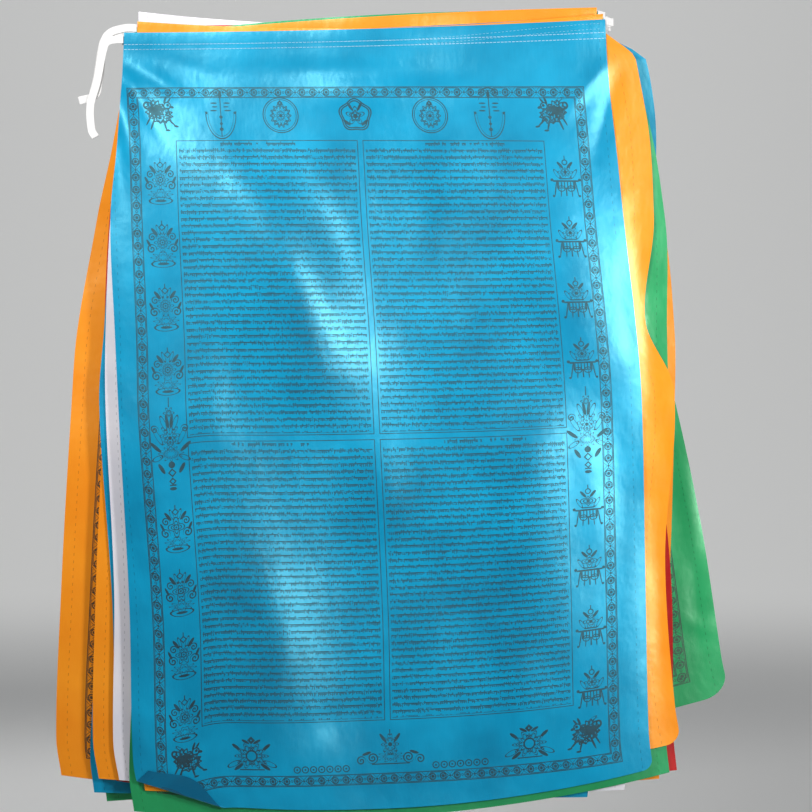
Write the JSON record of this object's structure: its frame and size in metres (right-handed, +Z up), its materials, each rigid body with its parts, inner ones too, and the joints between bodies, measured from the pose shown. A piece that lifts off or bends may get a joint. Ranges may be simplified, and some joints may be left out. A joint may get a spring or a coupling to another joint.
{
  "type": "tibetan prayer flag string",
  "caption": "Large printed prayer flags in the five colours, folded back and forth on their white tape and hung as one bundle from the header.",
  "frame": {"origin": "middle of the front flag's top edge, which is the header that the bundle hangs by", "axes": "+Z up, along the flags' length; +Y away from the viewer, through the layers; +X to the viewer's right, across the flags"},
  "size_m": [0.7129, 0.0767, 0.8555],
  "materials": {
    "blue_cloth": "satin polyester, dark printed design",
    "yellow_cloth": "satin polyester, dark printed design",
    "green_cloth": "satin polyester, dark printed design",
    "red_cloth": "satin polyester, dark printed design",
    "white_cloth": "satin polyester, dark printed design",
    "white_tape": "matt woven tape"
  },
  "bodies": {
    "root": {"flag_01_blue": "blue_cloth", "flag_02_yellow": "yellow_cloth", "flag_03_green": "green_cloth", "flag_04_red": "red_cloth", "flag_05_white": "white_cloth", "flag_06_blue": "blue_cloth", "flag_07_yellow": "yellow_cloth", "flag_08_green": "green_cloth", "flag_09_red": "red_cloth", "flag_10_white": "white_cloth", "flag_11_blue": "blue_cloth", "flag_12_yellow": "yellow_cloth", "flag_13_green": "green_cloth", "flag_14_red": "red_cloth", "flag_15_white": "white_cloth", "tape_left_01_02": "white_tape", "tape_left_03_04": "white_tape", "tape_left_05_06": "white_tape", "tape_left_07_08": "white_tape", "tape_left_09_10": "white_tape", "tape_left_11_12": "white_tape", "tape_left_13_14": "white_tape", "tape_right_02_03": "white_tape", "tape_right_04_05": "white_tape", "tape_right_06_07": "white_tape", "tape_right_08_09": "white_tape", "tape_right_10_11": "white_tape", "tape_right_12_13": "white_tape", "tape_right_14_15": "white_tape"}
  },
  "joints": []
}
